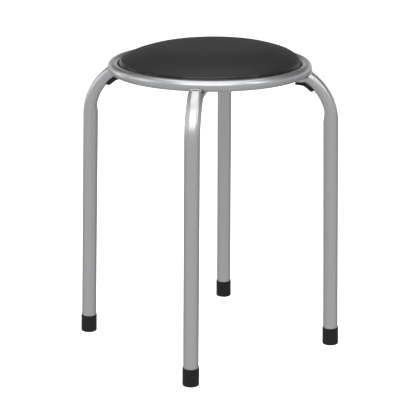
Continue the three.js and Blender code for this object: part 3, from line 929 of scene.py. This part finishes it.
def pleat_depth(point, reach, wide):
    """How far the hem is pleated downwards at a point. It lies flat where a frame presses on it."""
    inwards = smooth_share(cover_edge - hem_turn - wide, 0, cover_hem)
    beside = min(abs(point.x), abs(point.y))
    free = smooth_share(beside, frame_clearance, frame_clearance + frame_margin)
    drift = pleat_drift * noise.noise(reach * pleat_drift_waves)
    fold = abs(math.sin(pleat_count * math.atan2(point.y, point.x) / 2 + drift)) ** pleat_sharpness
    return pleat_height * inwards * free * fold


def crown_shape(point, reach, wide):
    """A point of the crown with waves and wrinkles at its rim, and leaning."""
    rim = smooth_share(wide, rim_from * cover_radius, rim_to * cover_radius)
    wave = noise.noise(reach * wave_count + Vector((0, 0, wide / wave_width)))
    gathered = smooth_share(math.cos(math.atan2(point.y, point.x) - wrinkle_place), wrinkle_from, 1)
    wrinkle = noise.noise(reach * wrinkle_count) * gathered
    lift = (wave * wave_height + wrinkle * wrinkle_height) * rim
    point = point + (reach * rim_outwards + Vector((0, 0, 1))) * lift
    leaning = smooth_share(point.z, crown_start, crown_start + crown_height / 2)
    point.z += lean_height * point.x / lean_reach * leaning
    return point


def sewn_shape(point):
    """Where a point of the swollen cover ends up: a little uneven, tight against the ring, pleated below."""
    wide = math.hypot(point.x, point.y)
    if wide < mm:
        return point
    reach = Vector((point.x / wide, point.y / wide, 0))
    if point.z < hem_height + hem_turn / 2:
        return point - Vector((0, 0, pleat_depth(point, reach, wide)))
    if point.z > board_high.z:
        point = crown_shape(point, reach, wide)
    bulge = smooth_share(point.z, bulge_low - bulge_start, bulge_low)
    bulge *= 1 - smooth_share(point.z, bulge_high, bulge_high + bulge_end)
    wide = math.hypot(point.x, point.y)
    below_tuck = tuck_height + tuck_unevenness * noise.noise(reach * tuck_waves) - point.z
    wide -= tuck_depth * smooth_share(below_tuck, 0, tuck_drop) * (1 - bulge)
    wide += max(0, bulge_reach - wide) * bulge
    drop = point.z - ring_height
    if abs(drop) < ring_clearance:
        wide = min(wide, ring_radius - math.sqrt(ring_clearance ** 2 - drop ** 2))
    return Vector((wide * reach.x, wide * reach.y, point.z))


seat_cover = mesh_piece("seat_cover_vinyl", cover_lines, black_vinyl)
rounding = seat_cover.modifiers.new("rounding", "SUBSURF")
rounding.levels = rounding.render_levels = 1
settle(seat_cover)
for vertex in seat_cover.data.vertices:
    vertex.co = sewn_shape(vertex.co.copy())
finish_mesh(seat_cover.data, cover_crease)
crown_up = max(seat_cover.data.polygons, key=lambda face: face.center.z).normal.z
if crown_up < 0:
    seat_cover.data.flip_normals()
wall = seat_cover.modifiers.new("wall", "SOLIDIFY")
wall.thickness = cover_thickness
wall.offset = -1
settle(seat_cover)
seat_cover.data.shade_smooth()
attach(seat_cover, body)
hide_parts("seat_cover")


# Foam. A disc of buff open-cell polyurethane fills the cover and gives the seat its spring. It rests on
# the board, and the cover holds it there.

foam_cell = 1.2 * mm
cell_depth = 0.3 * mm

buff_foam, tree, shader = new_material("buff_foam", {"Roughness": 1.0})
spot = add_node(tree, "ShaderNodeTexCoord").outputs["Object"]
cells = add_node(tree, "ShaderNodeTexVoronoi", {"Vector": spot, "Scale": 1 / foam_cell})
tone = add_node(tree, "ShaderNodeMix", {
    "data_type": "RGBA", 0: cells, 6: colour("#c7bb96"), 7: colour("#8f8465")})
bump = add_node(tree, "ShaderNodeBump", {"Strength": 0.8, "Distance": cell_depth, "Height": cells})
set_node(tree, shader, {"Base Color": tone.outputs[2], "Normal": bump})

foam_bottom = board_high.z + touch_gap
foam_inset = cover_thickness + 2 * touch_gap
foam_share = 1 - foam_inset / cover_radius
foam_rows = []
for row in swollen_rows:
    if row[0].z < crown_start:
        break
    shaped = [sewn_shape(point) for point in row]
    foam_rows.append([Vector((p.x * foam_share, p.y * foam_share, p.z - foam_inset)) for p in shaped])
for reach in (board_radius, 0):
    foam_rows.append([p.xy.normalized().to_3d() * reach + Vector((0, 0, foam_bottom)) for p in foam_rows[1]])
seat_foam = mesh_piece("seat_foam_disc", foam_rows, buff_foam)
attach(seat_foam, body)
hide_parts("seat_foam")


# Staples. The turned-under edge of the cover is stapled to the board all round, between the frames, by
# hand, so that they lie a little unevenly. They are bright zinc-plated wire.

staple_length = 11 * mm
staple_wire = 0.45 * mm  # half the wire's thickness
staple_sides = 8
staple_bend = 1 * mm  # corner cut off where the wire is bent
staple_leg = 5 * mm
staple_count = 36
staple_reach = board_radius - 0.6 * cover_hem
staple_jitter = 1.6 * mm
staple_twist = math.radians(9)

staple_end, staple_flat = staple_length / 2, staple_length / 2 - staple_bend
staple_path = [Vector((0, -staple_end, staple_leg)), Vector((0, -staple_end, staple_bend))]
staple_path += [Vector((0, -staple_flat, 0)), Vector((0, staple_flat, 0))]
staple_path += [Vector((0, staple_end, staple_bend)), Vector((0, staple_end, staple_leg))]
wire_tree, given = new_tree("bent_wire", {"Radius": "Float", "Sides": "Int", "Material": "Material"})
path = add_node(wire_tree, "GeometryNodeMeshToCurve", {0: given["Geometry"]})
finish_tube(wire_tree, given, path, given["Radius"])

staples = grow(lines("staples", [staple_path]), wire_tree, radius=staple_wire, sides=staple_sides,
               material=zinc_plate)
staples.data.transform(Matrix.Translation((0, 0, hem_height - staple_wire)))
set_round(staples, zinc_plate, count=staple_count, radius=staple_reach,
          first_turn=full_turn / staple_count / 2, turn_jitter=staple_twist, radius_jitter=staple_jitter,
          keep_clear=frame_clearance + staple_end, seed=4)
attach(staples, body)


# Seat screws. Four pan-head screws with a flange and a cross recess go up through the pressed tubes
# into the nuts in the board, and hold the seat down. They are zinc-plated steel.

screw_low, screw_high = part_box("seat_screw_right")
head_radius = 5.4 * mm
head_height = 2.7 * mm
head_flange = 0.8 * mm
pan_radius = 0.72 * head_radius
pan_round = 1 * mm
screw_tip = 1.5 * mm
recess_width = 0.9 * mm
recess_length = 4.6 * mm
recess_depth = 1.3 * mm
screw_sides = 64

low = screw_low.z
head_top = low + head_height
screw_profile = [(0, low)]
screw_profile += arc((pan_radius - pan_round, low + pan_round), pan_round, -1, 0)
screw_profile += [(pan_radius, head_top - head_flange)]
screw_profile += arc((head_radius - head_flange / 2, head_top - head_flange / 2), head_flange / 2, -1, 1)
screw_profile += [(screw_radius, head_top), (screw_radius, screw_high.z - screw_tip)]
screw_profile += [(screw_radius / 2, screw_high.z), (0, screw_high.z)]
seat_screws = mesh_piece("seat_screws", turned_rows(screw_profile, screw_sides), zinc_plate)

shape = bmesh.new()
for turn in (0, quarter_turn):
    blade = Matrix.Translation((0, 0, low)) @ Matrix.Rotation(turn, 4, "Z")
    blade = blade @ Matrix.Diagonal((recess_length, recess_width, 2 * recess_depth, 1))
    bmesh.ops.create_cube(shape, size=1, matrix=blade)
cut_away(seat_screws, shape, overlapping=True)
seat_screws.data.transform(Matrix.Translation((screw_reach, 0, 0)))
set_round(seat_screws, zinc_plate)
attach(seat_screws, body)
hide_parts("seat_screw_right", "seat_screw_rear", "seat_screw_left", "seat_screw_front")


# Studio. A plain pale floor, soft boxes overhead, in front and on both sides, in a room that is bright
# in front, behind the camera. At the back it is grey near the floor, bright low on the wall, dark above.

floor_half = 14
floor_glow = 0.55  # light of its own, so that it comes out white
mesh = bpy.data.meshes.new("floor")
mesh.from_pydata([(-floor_half, -floor_half, 0), (floor_half, -floor_half, 0), (floor_half, floor_half, 0),
                  (-floor_half, floor_half, 0)], [], [(0, 1, 2, 3)])
pale_floor = new_material("pale_floor", {
    "Roughness": 0.9, "Base Color": colour("#f4f4f4"), "Emission Color": colour("#ffffff"),
    "Emission Strength": floor_glow})[0]
mesh.materials.append(pale_floor)
floor = add_object("floor", mesh)
floor.visible_glossy = False  # the metal mirrors the room's own light in place of the floor

room_front = 0.84
back_floor = 0.4
back_wall = 0.92
back_high = 0.06
floor_end, wall_start = -0.16, -0.02  # sines of the elevation, seen from the stool
wall_end, dark_start = 0.18, 0.32
front_end, back_start = -0.5, 0.8  # the same towards the back
world = bpy.data.worlds.new("room")
bpy.context.scene.world = world
world.use_nodes = True
tree = world.node_tree
towards = add_node(tree, "ShaderNodeTexCoord").outputs["Generated"]
parts = add_node(tree, "ShaderNodeSeparateXYZ", {0: towards}).outputs
wall = add_node(tree, "ShaderNodeMapRange", {
    "interpolation_type": "SMOOTHSTEP", 0: parts["Z"], 1: floor_end, 2: wall_start,
    3: back_floor, 4: back_wall})
above = add_node(tree, "ShaderNodeMapRange", {
    "interpolation_type": "SMOOTHSTEP", 0: parts["Z"], 1: wall_end, 2: dark_start, 3: wall, 4: back_high})
backwards = add_node(tree, "ShaderNodeMapRange", {
    "interpolation_type": "SMOOTHSTEP", 0: parts["Y"], 1: front_end, 2: back_start,
    3: room_front, 4: above})
set_node(tree, tree.nodes["Background"], {"Strength": backwards, "Color": colour("#ffffff")})


def soft_box(name, azimuth, elevation, distance, width, height, brightness):
    """An area light that faces the seat, seen at this azimuth from the front and this elevation."""
    light = bpy.data.lights.new(name, "AREA")
    light.shape = "RECTANGLE"
    light.size, light.size_y = width, height
    light.energy = brightness * math.pi * width * height
    lamp = add_object(name, light)
    around, above = math.radians(azimuth), math.radians(elevation)
    away = Vector((math.sin(around) * math.cos(above), -math.cos(around) * math.cos(above), math.sin(above)))
    turned = away.to_track_quat("Z", "Y").to_matrix().to_4x4()
    lamp.matrix_world = Matrix.Translation(Vector((0, 0, frame_top)) + away * distance) @ turned
    lamp.visible_camera = False


soft_box("overhead_box", azimuth=8, elevation=92, distance=2.2, width=2.2, height=2.3, brightness=2.0)
soft_box("front_box", azimuth=4, elevation=40, distance=2.6, width=2.6, height=1.4, brightness=3.5)
soft_box("left_box", azimuth=-72, elevation=22, distance=2.6, width=1.3, height=1.3, brightness=1.5)
soft_box("right_strip", azimuth=66, elevation=36, distance=2.4, width=0.5, height=1.5, brightness=4.0)
soft_box("left_strip", azimuth=-107, elevation=9, distance=1.2, width=0.25, height=1.0, brightness=1.6)

camera_azimuth = math.radians(7.585)  # fitted to the photo, like the next values
camera_reach = 2170.89 * mm
camera_height = 866.30 * mm
camera_yaw = -camera_azimuth - math.radians(0.042)
camera_pitch = math.radians(-16.843)
camera_roll = math.radians(0.283)
camera_lens = 129.0  # millimetres, for a sensor 36 mm wide

camera_data = bpy.data.cameras.new("camera")
camera_data.sensor_width = 36
camera_data.lens = camera_lens
camera_data.clip_end = 100
camera = add_object("camera", camera_data)
level_forward = Vector((math.sin(camera_yaw), math.cos(camera_yaw), 0))
forward = level_forward * math.cos(camera_pitch) + Vector((0, 0, math.sin(camera_pitch)))
right = Vector((math.cos(camera_yaw), -math.sin(camera_yaw), 0))
up = right.cross(forward)
turned_right = right * math.cos(camera_roll) + up * math.sin(camera_roll)
turned_up = turned_right.cross(forward)
place = Matrix((turned_right, turned_up, -forward)).transposed().to_4x4()
place.translation = Vector((math.sin(camera_azimuth), -math.cos(camera_azimuth), 0)) * camera_reach
place.translation.z = camera_height
camera.matrix_world = place
bpy.context.scene.camera = camera
bpy.context.scene.view_settings.view_transform = "Standard"
